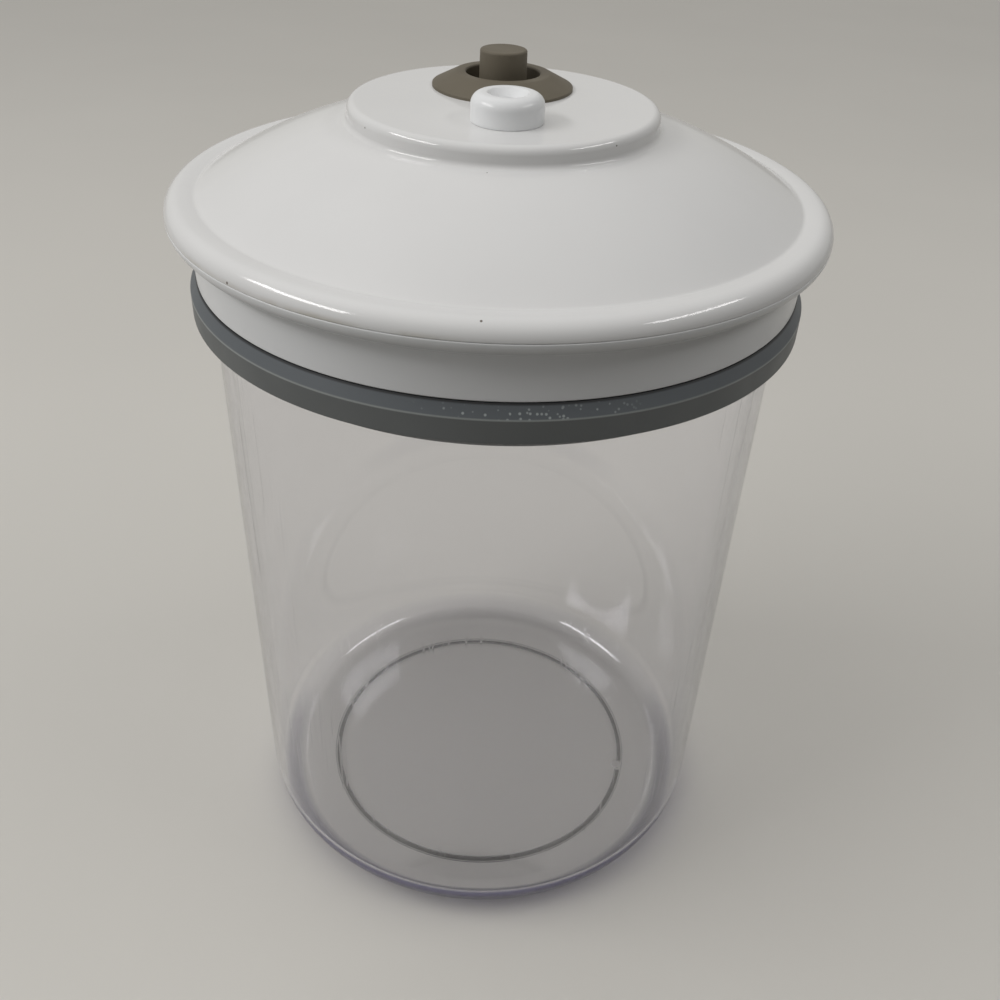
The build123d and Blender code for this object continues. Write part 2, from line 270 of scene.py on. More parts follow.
class Nodes:
    """A node tree under construction, with patterns that follow a place or a direction."""

    def __init__(self, tree, coordinate):
        self.tree = tree
        self.place = tree.nodes.new("ShaderNodeTexCoord").outputs[coordinate]

    def node(self, kind, **inputs):
        """Add a node and set or link its inputs, whose names have _ for a space."""
        node = self.tree.nodes.new(kind)
        for name, value in inputs.items():
            self.feed(node.inputs[name.replace("_", " ")], value)
        return node

    def feed(self, socket, value):
        """Link an output to a socket, or set a plain value on it."""
        if isinstance(value, bpy.types.NodeSocket):
            self.tree.links.new(value, socket)
        else:
            socket.default_value = value

    def pair(self, kind, operation, first, second):
        """Add a node that does one operation on two values."""
        node = self.tree.nodes.new(kind)
        node.operation = operation
        self.feed(node.inputs[0], first)
        self.feed(node.inputs[1], second)
        return node

    def math(self, operation, first, second):
        """The result of one sum on two values."""
        return self.pair("ShaderNodeMath", operation, first, second).outputs[0]

    def times(self, first, *others):
        """The product of two or more values."""
        for other in others:
            first = self.math("MULTIPLY", first, other)
        return first

    def compare(self, operation, first, second):
        """A vector sum that gives one number: DISTANCE, LENGTH or DOT_PRODUCT."""
        return self.pair("ShaderNodeVectorMath", operation, first, second).outputs["Value"]

    def seen(self):
        """One for rays that come from the camera, straight, mirrored or through clear plastic."""
        rays = self.tree.nodes.new("ShaderNodeLightPath").outputs
        straight = self.math("MAXIMUM", rays["Is Camera Ray"], rays["Is Glossy Ray"])
        return self.math("MAXIMUM", straight, rays["Is Transmission Ray"])

    def stretched(self, scale, turn=(0.0, 0.0, 0.0)):
        """The surface's place, turned and stretched."""
        node = self.node("ShaderNodeMapping", Vector=self.place, Rotation=turn, Scale=scale)
        return node.outputs[0]

    def radius(self):
        """How far the surface is from the upright axis."""
        return self.compare("LENGTH", self.stretched((1.0, 1.0, 0.0)), (0.0, 0.0, 0.0))

    def along(self, axis):
        """The surface's place along X, Y or Z."""
        return self.node("ShaderNodeSeparateXYZ", Vector=self.place).outputs[axis]

    def noise(self, scale, detail=2.0, place=None):
        """A soft random pattern from 0 to 1."""
        place = place or self.place
        node = self.node("ShaderNodeTexNoise", Vector=place, Scale=scale, Detail=detail)
        return node.outputs["Fac"]

    def span(self, value, low, high, to_low, to_high):
        """A value moved from one span to another and kept inside it."""
        ends = {"From_Min": low, "From_Max": high, "To_Min": to_low, "To_Max": to_high}
        return self.node("ShaderNodeMapRange", Value=value, **ends).outputs["Result"]

    def rising(self, value, low, high):
        """A share that goes from 0 at low to 1 at high."""
        return self.span(value, low, high, 0.0, 1.0)

    def falling(self, value, low, high):
        """A share that goes from 1 at low to 0 at high."""
        return self.span(value, low, high, 1.0, 0.0)

    def near(self, place, size, edge):
        """A round spot of a size about a place, with a soft edge."""
        return self.falling(self.compare("DISTANCE", self.place, place), size, size + edge)

    def blend(self, share, first, second):
        """A colour between two colours."""
        node = self.tree.nodes.new("ShaderNodeMix")
        node.data_type = "RGBA"
        self.feed(node.inputs["Factor"], share)
        self.feed(node.inputs["A"], first)
        self.feed(node.inputs["B"], second)
        return node.outputs["Result"]

    def mixed(self, share, first, second):
        """A shader between the shaders of two nodes."""
        node = self.node("ShaderNodeMixShader", Fac=share)
        self.feed(node.inputs[1], first.outputs[0])
        self.feed(node.inputs[2], second.outputs[0])
        return node.outputs[0]

    def specks(self, spacing, size, share):
        """Small round dots, each spacing apart on average, in a share of the places."""
        cells = self.node("ShaderNodeTexVoronoi", Vector=self.place, Scale=1 / spacing)
        dot = self.rising(cells.outputs["Distance"], size / spacing, size / spacing / 2)
        chosen = self.math("LESS_THAN", cells.outputs["Color"], share)
        return self.times(dot, chosen)

    def scratches(self, spacing, turn, rarity):
        """Fine straight marks that run along one direction."""
        along = self.stretched((scratch_across, scratch_across, 1.0), turn)
        lines = self.noise(1 / spacing, 0.0, along)
        return self.rising(lines, rarity, rarity + scratch_edge)


class Finish(Nodes):
    """A material under construction: its node tree and its main shader."""

    def __init__(self, name):
        self.material = bpy.data.materials.new(name)
        self.material.use_nodes = True
        self.shader = self.material.node_tree.nodes["Principled BSDF"]
        super().__init__(self.material.node_tree, "Object")

    def set(self, **inputs):
        """Set or link inputs of the main shader, whose names have _ for a space."""
        for name, value in inputs.items():
            self.feed(self.shader.inputs[name.replace("_", " ")], value)

    def bump(self, height, strength, depth):
        """Let a height pattern tilt the shader's surface."""
        node = self.node("ShaderNodeBump", Height=height, Strength=strength, Distance=depth)
        self.set(Normal=node.outputs["Normal"])


def colour(setting):
    """A colour property as the four values that a node takes."""
    return (*setting, 1.0)


def shaded(setting, share):
    """A colour property made darker or lighter by a share."""
    return tuple(min(1.0, value * share) for value in setting) + (1.0,)


def foot_shade_mask(finish):
    """Where the body's violet shows, made darker as painted shade: outside and low on the foot,
    most at the front.
    """
    inner, outer = body_high.x * 0.85, body_high.x * 0.895
    outside = finish.rising(finish.radius(), low=inner, high=outer)
    low = finish.rising(finish.along("Z"), low=0.0096, high=0.0076)
    front = finish.span(finish.along("Y"), low=-0.02, high=0.02, to_low=1.0, to_high=0.15)
    return finish.times(outside, low, front)


def ring_shadow_mask(finish, settings, notch):
    """Where a contact shadow is painted on the standing ring: all round, but for its gate notch.
    """
    outer_ring = settings.ring + settings.ring_width
    inner = finish.rising(finish.radius(), low=settings.ring - 0.0002, high=settings.ring)
    outer = finish.falling(finish.radius(), low=outer_ring - 0.0006, high=outer_ring - 0.0003)
    below = finish.rising(finish.along("Z"), low=0.0008, high=0.0005)
    ring = finish.times(inner, outer, below)
    return finish.math("SUBTRACT", ring, finish.near(notch, size=0.002, edge=0.0003))


def clear_plastic(settings, notch):
    """Clear moulded plastic: violet foot darkened by painted shade, painted contact shadow on the
    ring, fine scratches, frosted gate mark.
    """
    scratch_roughness = 0.07
    scratch_depth = 0.3
    finish = Finish("clear_plastic")
    upright = finish.scratches(spacing=0.03, turn=(0.0, 0.12, 0.0), rarity=0.76)
    cross = finish.scratches(spacing=0.05, turn=(0.5, 1.2, 0.3), rarity=0.77)
    marks = finish.math("MAXIMUM", upright, cross)
    patches = finish.noise(scale=18.0)
    haze = finish.span(patches, 0.3, 0.8, to_low=settings.haze, to_high=settings.haze * 2)
    frosted = finish.times(finish.near(notch, size=0.0013, edge=0.0004), settings.frost)
    rough = finish.math("ADD", finish.times(marks, scratch_roughness), frosted)
    # Violet of the thick plastic at the foot, with painted shade that is darkest at the front
    foot_shaded_colour = finish.blend(foot_shade_mask(finish), no_tint, colour(settings.foot_shade_violet))
    finish.set(
        # The standing ring gets a painted contact shadow over the foot's colour
        Base_Color=finish.blend(ring_shadow_mask(finish, settings, notch), foot_shaded_colour, ring_shadow_colour),
        Roughness=finish.math("ADD", haze, rough),
        IOR=settings.bending,
        Transmission_Weight=1.0,
    )
    waves = finish.noise(scale=55.0, detail=1.0)
    scored = finish.times(marks, scratch_depth)
    finish.bump(finish.math("SUBTRACT", waves, scored), strength=0.22, depth=0.00005)

    output = finish.tree.nodes["Material Output"]
    tint = finish.node(
        "ShaderNodeVolumeAbsorption", Color=colour(settings.tint), Density=settings.density
    )
    finish.feed(output.inputs["Volume"], tint.outputs[0])
    shadow = finish.tree.nodes.new("ShaderNodeLightPath").outputs["Is Shadow Ray"]
    see_through = finish.node("ShaderNodeBsdfTransparent", Color=colour(settings.shadow_tint))
    finish.feed(output.inputs["Surface"], finish.mixed(shadow, finish.shader, see_through))
    return finish.material


def seam_grime(finish):
    """Where grime lies in the rim's seam: in patches at the front left."""
    height = finish.along("Z")
    above = finish.rising(height, low=parting - 0.0012, high=parting)
    below = finish.falling(height, low=parting + 0.0004, high=parting + 0.0012)
    noise = finish.noise(scale=70.0, detail=4.0)
    patchy = finish.span(noise, low=0.42, high=0.66, to_low=0.0, to_high=0.55)
    front_left = finish.near((-0.045, -0.06, parting), size=0.03, edge=0.03)
    return finish.times(above, below, patchy, front_left)


def white_plastic(settings):
    """Polished white plastic with wipe marks, rare dark specks and a faint orange peel."""
    wipe_roughness = 0.05
    wipe_depth = 0.4
    finish = Finish("white_plastic")
    tone = finish.rising(finish.noise(scale=22.0, detail=4.0), low=0.35, high=0.7)
    plain = finish.blend(tone, colour(settings.white), shaded(settings.white, share=0.96))
    dirt = finish.specks(spacing=0.021, size=0.00025, share=0.2)
    for place, size in lid_specks:
        dirt = finish.math("MAXIMUM", dirt, finish.near(place, size, size / 2))
    plain = finish.blend(seam_grime(finish), plain, grime_yellow)
    wipes = finish.scratches(spacing=0.05, turn=(0.4, 1.45, 0.2), rarity=0.7)
    noise = finish.noise(scale=60.0, detail=3.0)
    polish = finish.span(noise, 0.3, 0.75, to_low=settings.gloss, to_high=settings.gloss * 1.5)
    finish.set(
        Base_Color=finish.blend(dirt, plain, speck_brown),
        Roughness=finish.math("ADD", polish, finish.times(wipes, wipe_roughness)),
        Specular_IOR_Level=0.5,
        IOR=1.53,
    )
    peel = finish.noise(scale=420.0, detail=1.0)
    scored = finish.times(wipes, wipe_depth)
    finish.bump(finish.math("SUBTRACT", peel, scored), strength=0.1, depth=0.00003)
    return finish.material


def bevel_dust_and_painted_light(finish, surface, edge, shoulder):
    """A surface with a gasket's bevel: painted highlight on the edge, painted shade on the bevel,
    dust at the front, painted shadow under the skirt.
    """
    height = finish.along("Z")
    from_edge = finish.math("ABSOLUTE", finish.math("SUBTRACT", height, edge), 0.0)
    # Painted highlight: a lighter grey line along the gasket's rounded edge
    edge_highlight = finish.span(from_edge, low=0.00012, high=0.0003, to_low=0.75, to_high=0.0)
    surface = finish.blend(edge_highlight, surface, edge_highlight_grey)
    # Painted shade: the bevel above the edge gets a darker, bluer grey than the band
    above = finish.rising(height, low=edge, high=edge + 0.0003)
    surface = finish.blend(above, surface, bevel_shade_grey)
    below = finish.falling(height, low=shoulder - 0.0012, high=shoulder)
    front = finish.near((0.004, gasket_low.y, edge), size=0.013, edge=0.01)
    grains = finish.specks(spacing=0.0009, size=0.00034, share=0.5)
    dust = finish.times(grains, finish.times(above, below, front))
    surface = finish.blend(dust, surface, dust_grey)
    shadow_low, shadow_high = shoulder - 0.0005, shoulder - 0.0002
    under_skirt = finish.span(height, shadow_low, shadow_high, to_low=0.0, to_high=0.9)
    return finish.blend(under_skirt, surface, shadow_dark)


def rubber(name, tint, roughness, grain, bevel=None):
    """Matte moulded rubber with fine grain, and between two heights, if given, a bevel with
    painted highlight, shade and shadow and real dust.
    """
    uneven = 0.06
    finish = Finish(name)
    patches = finish.rising(finish.noise(scale=40.0, detail=4.0), low=0.35, high=0.7)
    surface = finish.blend(patches, shaded(tint, share=0.93), shaded(tint, share=1.08))
    if bevel:
        surface = bevel_dust_and_painted_light(finish, surface, *bevel)
    noise = finish.noise(scale=120.0, detail=3.0)
    finish.set(
        Base_Color=surface,
        Roughness=finish.span(noise, 0.3, 0.7, roughness - uneven, roughness + uneven),
        Specular_IOR_Level=0.35,
    )
    finish.bump(finish.noise(1 / grain, detail=3.0), strength=0.35, depth=grain / 10)
    return finish.material


def dull_plastic(name, tint):
    """Unpolished inner plastic with flow lines."""
    finish = Finish(name)
    flow = finish.noise(scale=120.0, detail=3.0, place=finish.stretched((1.0, 1.0, 0.15)))
    noise = finish.noise(scale=300.0)
    finish.set(
        Base_Color=finish.blend(flow, shaded(tint, share=0.9), colour(tint)),
        Roughness=finish.span(noise, low=0.3, high=0.7, to_low=0.4, to_high=0.55),
    )
    finish.bump(finish.noise(scale=1500.0), strength=0.2, depth=0.00003)
    return finish.material


def spring_steel(tint):
    """Drawn steel wire with fine lines."""
    finish = Finish("spring_steel")
    lines = finish.noise(scale=900.0, detail=3.0, place=finish.stretched((1.0, 1.0, 6.0)))
    finish.set(
        Base_Color=finish.blend(lines, shaded(tint, share=0.85), colour(tint)),
        Metallic=1.0,
        Roughness=finish.span(lines, low=0.3, high=0.7, to_low=0.22, to_high=0.38),
    )
    finish.bump(lines, strength=0.15, depth=0.00002)
    return finish.material


# Kinds of settings
LengthProperty = partial(FloatProperty, unit="LENGTH")
FactorProperty = partial(FloatProperty, subtype="FACTOR")
ColourProperty = partial(FloatVectorProperty, subtype="COLOR")


class BodySettings(bpy.types.PropertyGroup):
    """Sizes and finish of the clear body."""

    wall: LengthProperty(name="Wall", description="Thickness of the body's wall", default=0.0026)
    floor: LengthProperty(name="Floor", description="Thickness of the floor", default=0.0026)
    corner: LengthProperty(name="Corner", description="Round of the foot's corner", default=0.0119)
    ring: LengthProperty(name="Ring", description="Inner radius of the foot ring", default=0.0463)
    ring_width: LengthProperty(
        name="Ring width", description="Width of the foot ring", default=0.0018
    )
    ring_height: LengthProperty(
        name="Ring height", description="Height of the foot ring", default=0.0006
    )
    lean: LengthProperty(name="Lean", description="How much wider the rim is", default=0.0013)
    tint: ColourProperty(
        name="Tint", description="What thick plastic lets through", default=(0.5, 0.49, 0.63)
    )
    # Dark violet of the foot's corner: the plastic's colour with painted shade
    foot_shade_violet: ColourProperty(
        name="Foot tint", description="Tint of the foot's corner", default=(0.09, 0.085, 0.21)
    )
    shadow_tint: ColourProperty(
        name="Shadow tint", description="Lamplight through a wall", default=(0.58, 0.58, 0.58)
    )
    density: FloatProperty(name="Density", description="Strength per metre", default=34.0, min=0.0)
    haze: FactorProperty(name="Haze", description="Roughness of the surface", default=0.012)
    frost: FactorProperty(name="Frost", description="Roughness of the gate mark", default=0.6)
    bending: FloatProperty(name="Index", description="Index of refraction", default=1.53, min=1.0)


class LidSettings(bpy.types.PropertyGroup):
    """Sizes and finish of the white lid and its gasket."""

    platform: LengthProperty(name="Platform", description="Radius of the platform", default=0.0349)
    platform_height: LengthProperty(
        name="Platform height", description="Height of the platform's side", default=0.0044
    )
    platform_round: LengthProperty(
        name="Platform edge", description="Round of the platform's top edge", default=0.0018
    )
    upper_roll: LengthProperty(
        name="Upper roll", description="Radius of the upper rim", default=0.0037
    )
    lower_roll: LengthProperty(
        name="Lower roll", description="Radius of the lower rim", default=0.0034
    )
    bead: LengthProperty(name="Bead", description="Height of the rim's bead", default=0.0002)
    skirt_height: LengthProperty(
        name="Skirt", description="From parting line to foot", default=0.0146
    )
    cover_wall: LengthProperty(
        name="Cover wall", description="Thickness of the cover", default=0.0022
    )
    white: ColourProperty(
        name="White", description="Colour of the lid", default=(0.79, 0.79, 0.785)
    )
    gloss: FactorProperty(name="Gloss", description="Roughness of the polish", default=0.08)
    gasket: ColourProperty(
        name="Gasket", description="Colour of the gasket", default=(0.148, 0.157, 0.157)
    )


class ValveSettings(bpy.types.PropertyGroup):
    """Sizes and finish of the button, its collar, the port and the pieces inside."""

    taupe: ColourProperty(
        name="Taupe", description="Colour of button and collar", default=(0.142, 0.123, 0.09)
    )
    stem: ColourProperty(
        name="Stem", description="Colour of stem and disc", default=(0.72, 0.72, 0.7)
    )
    seals: ColourProperty(
        name="Seals", description="Colour of the inner rubber", default=(0.05, 0.05, 0.055)
    )
    steel: ColourProperty(
        name="Steel", description="Colour of spring and clip", default=(0.56, 0.57, 0.58)
    )
    wire: LengthProperty(name="Wire", description="Diameter of the spring's wire", default=0.0007)
    turns: IntProperty(name="Turns", description="Turns of the spring", default=5, min=1)
    travel: LengthProperty(name="Travel", description="How far the button goes", default=0.0025)


class StageSettings(bpy.types.PropertyGroup):
    """Floor, lamps and camera."""

    floor: ColourProperty(
        name="Floor", description="Colour of the floor", default=(0.67, 0.653, 0.61)
    )
    backdrop: ColourProperty(
        name="Backdrop", description="Colour behind the floor", default=(0.5, 0.49, 0.46)
    )
    sky: FloatProperty(name="Sky", description="Light all round", default=1.0, min=0.0)
    left: FloatProperty(name="Left", description="Power of the left lamp", default=3.8, min=0.0)
    right: FloatProperty(name="Right", description="Power of the right lamp", default=1.9, min=0.0)
    lens: FloatProperty(name="Lens", description="Focal length, mm", default=37.28, min=1.0)


class CANISTER_OT_body(bpy.types.Operator):
    """Build the clear body with its standing ring and gate notch."""

    bl_idname = "canister.body"
    bl_label = "Clear body"

    notch_radius = 0.0014
    notch_inset = 0.0001
    notch_angle = math.radians(-14.3)
    ring_round = 0.0003
    rim_round = 0.0008

    def execute(self, context):
        sizes = context.scene.canister_body
        top = body_high.z
        rim = body_high.x
        foot = rim - sizes.lean
        floor_under = sizes.ring_height
        floor_top = floor_under + sizes.floor
        outer_ring = sizes.ring + sizes.ring_width
        section = Section(0.0, floor_under)
        section.to(sizes.ring, floor_under)
        section.to(sizes.ring, 0.0, self.ring_round)
        section.to(outer_ring, 0.0, self.ring_round)
        section.to(outer_ring, floor_under)
        section.to(foot, floor_under, sizes.corner)
        section.to(rim, top, self.rim_round)
        section.to(rim - sizes.wall, top, self.rim_round)
        inner_foot = foot + sizes.lean * floor_top / top - sizes.wall
        section.to(inner_foot, floor_top, sizes.corner - sizes.wall)
        section.to(0.0, floor_top)
        piece = turned("clear_body", section, around=around_large)
        reach = sizes.ring - self.notch_inset
        x = reach * math.cos(self.notch_angle)
        y = reach * math.sin(self.notch_angle)
        combine(piece, [rod(self.notch_radius, -overrun, floor_under, x, y)], "DIFFERENCE")
        material = clear_plastic(sizes, (x, y, floor_under))
        finish_piece(piece, "canister", "canister_body", material)
        return {"FINISHED"}


class CANISTER_OT_cover(bpy.types.Operator):
    """Build the white cover: platform, dome, ledge and the upper half of the rim."""

    bl_idname = "canister.cover"
    bl_label = "Lid cover"

    dome_end = -31.0  # degrees, the heading with which the dome reaches the ledge
    ledge_inset = 0.007
    ledge_dip = 0.00025
    ledge_round = 0.0015
    foot_round = 0.0012
    edge_round = 0.00025
    hole_gap = 0.0001

    def execute(self, context):
        sizes = context.scene.canister_lid
        wall = sizes.cover_wall
        roll = sizes.upper_roll
        side_foot = platform_top - sizes.platform_height
        crest = parting + roll
        ledge_radius = rim_radius - self.ledge_inset
        ledge = crest - self.ledge_dip
        section = Section(0.0, platform_top)
        section.to(sizes.platform, platform_top, sizes.platform_round)
        section.to(sizes.platform, side_foot + self.foot_round)
        section.arc(sizes.platform + self.foot_round, side_foot, -90.0)
        section.arc_arriving(ledge_radius, ledge, self.dome_end, self.ledge_round)
        section.arc_arriving(rim_radius - roll, crest, 0.0)
        section.arc(rim_radius, parting + self.edge_round, 0.0)
        section.arc(rim_radius - self.edge_round, parting, -90.0)
        section.to(rim_radius - wall, parting)
        section.to(rim_radius - wall, crest - wall)
        section.to(ledge_radius, ledge - wall)
        section.arc(sizes.platform, side_foot - wall, 180.0 + self.dome_end)
        section.to(sizes.platform - wall, side_foot - wall)
        section.to(sizes.platform - wall, platform_top - wall)
        section.to(0.0, platform_top - wall)
        piece = turned("cover_shell", section, around=around_large)
        low = platform_top - wall - overrun
        high = platform_top + overrun
        holes = [
            rod(CANISTER_OT_valve_tops.neck_radius + self.hole_gap, low, high, y=valve_y),
            rod(CANISTER_OT_valve_tops.port_neck + self.hole_gap, low, high, y=port_y),
        ]
        combine(piece, holes, "DIFFERENCE")
        finish_piece(piece, "lid", "lid_cover", white_plastic(sizes))
        return {"FINISHED"}


class CANISTER_OT_base(bpy.types.Operator):
    """Build the lid's lower half: skirt, lower roll with its bead, plug and inner towers."""

    bl_idname = "canister.base"
    bl_label = "Lid base"

    skirt_wall = 0.0019
    skirt_draft = 0.0004
    skirt_inset = 0.0017
    plug_wall = 0.0022
    floor_wall = 0.0026
    edge_round = 0.0004
    parting_round = 0.00025
    rib_height = 0.0007
    rib_wall = 0.0016
    gap = 0.0001
    bead_turn = math.radians(62.0)
    bead_spread = math.radians(5.0)
    bead_detail = 4
    chimney = 0.007
    chimney_wall = 0.0018
    guide_plate = 0.002
    stem_hole = 0.00229
    vent_radius = 0.0009
    vent_ring = 0.005375
    vent_count = 6
    inlet = 0.0042
    socket = 0.0061
    socket_wall = 0.0018
    socket_under_top = 0.0042
    check_stem_hole = 0.0013
    check_hole = 0.00075
    check_ring = 0.00295
    check_count = 6

    def lower_roll(self, section, sizes):
        """Add the rim's lower half to a section, with a small bead that stands out from it."""
        quarter = math.pi / 2
        steps = math.ceil(quarter / arc_step) * self.bead_detail
        middle = rim_radius - sizes.lower_roll
        for count in range(steps - 1):
            turn = quarter * (1 - count / steps)
            bead = sizes.bead * math.exp(-(((turn - self.bead_turn) / self.bead_spread) ** 2))
            reach = sizes.lower_roll + bead
            section.to(middle + reach * math.cos(turn), parting - reach * math.sin(turn))
        section.arc(rim_radius - self.parting_round, parting, 90.0)

    def outline(self, sizes):
        """The turned shape of the base, from under its floor round to the floor's top."""
        skirt_foot = parting - sizes.skirt_height
        skirt = gasket_high.x - self.skirt_inset
        inner_skirt = skirt - self.skirt_wall
        floor_under = gasket_high.z + self.gap
        plug = self.plug_radius()
        step = rim_radius - sizes.cover_wall - self.gap
        section = Section(0.0, floor_under)
        section.to(plug - self.plug_wall, floor_under)
        section.to(plug - self.plug_wall, base_low.z)
        section.to(plug, base_low.z, self.edge_round)
        section.to(plug, floor_under)
        section.to(inner_skirt, floor_under)
        section.to(inner_skirt, skirt_foot)
        section.to(skirt, skirt_foot, self.edge_round)
        section.to(skirt + self.skirt_draft, parting - sizes.lower_roll, self.edge_round)
        self.lower_roll(section, sizes)
        section.to(step, parting)
        section.to(step, parting + self.rib_height)
        section.to(step - self.rib_wall, parting + self.rib_height)
        section.to(inner_skirt, parting)
        section.to(inner_skirt, floor_under + self.floor_wall)
        section.to(0.0, floor_under + self.floor_wall)
        return section

    def plug_radius(self):
        """The plug's outer radius, just inside the gasket's lip."""
        gasket = CANISTER_OT_gasket
        wall = bpy.context.scene.canister_body.wall
        return body_high.x - wall - gasket.lip_clearance - gasket.lip - self.gap

    def cuts(self, floor_low, floor_top):
        """Rods for the bores and holes of the button's chimney and the port's socket."""
        guide_top = spring_low.z
        guide_span = (guide_top - overrun, guide_top + overrun)
        floor_span = (floor_low, floor_top + overrun)
        cuts = [
            rod(self.chimney, guide_top, base_high.z + overrun, y=valve_y),
            rod(self.chimney, floor_top, guide_top - self.guide_plate, y=valve_y),
            rod(self.stem_hole, *guide_span, y=valve_y),
            rod(self.inlet, *floor_span, y=valve_y),
            rod(self.socket, floor_top, platform_top, y=port_y),
            rod(self.check_stem_hole, *floor_span, y=port_y),
        ]
        vents = (self.vent_count, self.vent_ring, self.vent_radius)
        checks = (self.check_count, self.check_ring, self.check_hole)
        cuts += ring_of_rods(*vents, *guide_span, valve_y)
        cuts += ring_of_rods(*checks, *floor_span, port_y)
        return cuts

    def execute(self, context):
        floor_top = gasket_high.z + self.gap + self.floor_wall
        floor_low = floor_top - self.floor_wall - overrun
        foot = floor_top - sink
        socket_top = platform_top - self.socket_under_top
        outline = self.outline(context.scene.canister_lid)
        piece = turned("base_shell", outline, around=around_large)
        towers = [
            rod(self.chimney + self.chimney_wall, foot, base_high.z, y=valve_y),
            rod(self.socket + self.socket_wall, foot, socket_top, y=port_y),
        ]
        combine(piece, towers, "UNION")
        combine(piece, self.cuts(floor_low, floor_top), "DIFFERENCE")
        white = bpy.data.materials["white_plastic"]
        finish_piece(piece, "lid", "lid_base", white)
        return {"FINISHED"}


class CANISTER_OT_gasket(bpy.types.Operator):
    """Build the grey gasket between lid and body."""

    bl_idname = "canister.gasket"
    bl_label = "Gasket"

    flange = 0.0036
    band = 0.0053
    bevel = 0.0028
    bevel_inset = 0.0017
    lip = 0.0012
    lip_clearance = 0.0004
    overlap = 0.0012
    seat_gap = 0.0001
    edge_round = 0.0003
    tongue_inset = 0.002
    roughness = 0.5
    grain = 0.0004

    def execute(self, context):
        outer = gasket_high.x
        foot = body_high.z - self.overlap
        edge = foot + self.band
        shoulder = edge + self.bevel
        roof = body_high.z + self.seat_gap
        lip = body_high.x - context.scene.canister_body.wall - self.lip_clearance
        inner = lip - self.lip
        skirt = outer - self.bevel_inset
        tongue = skirt - self.tongue_inset
        section = Section(inner, gasket_low.z, self.edge_round)
        section.to(lip, gasket_low.z, self.edge_round)
        section.to(lip, roof)
        section.to(outer - self.flange, roof)
        section.to(outer - self.flange, foot)
        section.to(outer, foot, self.edge_round)
        section.to(outer, edge, self.edge_round)
        section.to(skirt, shoulder)
        section.to(tongue, shoulder)
        section.to(tongue, gasket_high.z)
        section.to(inner, gasket_high.z)
        piece = turned("gasket_ring", section, around=around_large)
        tint = context.scene.canister_lid.gasket
        bevel = (edge, shoulder)
        material = rubber("grey_rubber", tint, self.roughness, self.grain, bevel)
        finish_piece(piece, "lid", "lid_gasket", material)
        return {"FINISHED"}


class CANISTER_OT_valve_tops(bpy.types.Operator):
    """Build the collar, the button and the hose port that stand on the platform."""

    bl_idname = "canister.valve_tops"
    bl_label = "Collar, button and port"

    neck_radius = 0.0098
    neck_bead = 0.0008
    neck_bead_height = 0.0014
    bead_gap = 0.0001
    collar_edge = 0.0006
    collar_edge_round = 0.0002
    shoulder = 0.0109
    shoulder_round = 0.0014
    well = 0.0085
    well_round = 0.0005
    well_depth = 0.0064
    well_gap = 0.0004
    button_draft = 0.0002
    button_round = 0.0005
    stem_hole = 0.0023
    stem_depth = 0.011
    port_neck = 0.006
    port_round = 0.0024
    port_bore = 0.0026
    port_mouth = 0.0044
    port_mouth_depth = 0.0017
    port_mouth_round = 0.0006
    port_foot_round = 0.0002
    groove_radius = 0.0043
    groove_height = 0.0019
    roughness = 0.58
    grain = 0.00035

    def collar(self, context):
        """The soft collar with its well, clipped into the cover."""
        outer = collar_high.x
        top = collar_high.z
        bead_top = platform_top - context.scene.canister_lid.cover_wall - self.bead_gap
        hole = button_high.x + self.well_gap
        section = Section(self.neck_radius, platform_top)
        section.to(outer, platform_top)
        section.to(outer, platform_top + self.collar_edge, self.collar_edge_round)
        section.to(self.shoulder, top, self.shoulder_round)
        section.to(self.well, top, self.well_round)
        section.to(self.well, top - self.well_depth, self.well_round)
        section.to(hole, top - self.well_depth)
        section.to(hole, collar_low.z)
        section.to(self.neck_radius, collar_low.z)
        section.to(self.neck_radius, bead_top - self.neck_bead_height)
        section.to(self.neck_radius + self.neck_bead, bead_top)
        section.to(self.neck_radius, bead_top)
        return turned("collar_ring", section, valve_y)

    def button(self):
        """The button cap with its blind hole for the stem."""
        radius = button_high.x
        low = button_low.z
        section = Section(0.0, button_high.z)
        section.to(radius - self.button_draft, button_high.z, self.button_round)
        section.to(radius, low)
        section.to(self.stem_hole, low)
        section.to(self.stem_hole, low + self.stem_depth)
        section.to(0.0, low + self.stem_depth)
        return turned("button_cap", section, valve_y)

    def port(self):
        """The rounded nipple with its dished mouth and long neck."""
        outer = port_high.x
        top = port_high.z
        groove_middle = (o_ring_low.z + o_ring_high.z) / 2
        groove_low = groove_middle - self.groove_height / 2
        groove_high = groove_middle + self.groove_height / 2
        section = Section(self.port_bore, port_low.z)
        section.to(self.port_neck, port_low.z)
        section.to(self.port_neck, groove_low)
        section.to(self.groove_radius, groove_low)
        section.to(self.groove_radius, groove_high)
        section.to(self.port_neck, groove_high)
        section.to(self.port_neck, platform_top)
        section.to(outer, platform_top, self.port_foot_round)
        section.to(outer, top, self.port_round)
        section.to(self.port_mouth, top, self.port_mouth_round)
        section.to(self.port_bore, top - self.port_mouth_depth, self.port_mouth_round)
        return turned("port_nipple", section, port_y)

    def execute(self, context):
        tint = context.scene.canister_valve.taupe
        taupe = rubber("taupe_rubber", tint, self.roughness, self.grain)
        white = bpy.data.materials["white_plastic"]
        finish_piece(self.collar(context), "lid", "valve_collar", taupe)
        finish_piece(self.button(), "release_valve", "release_button", taupe)
        finish_piece(self.port(), "lid", "vacuum_port", white)
        return {"FINISHED"}


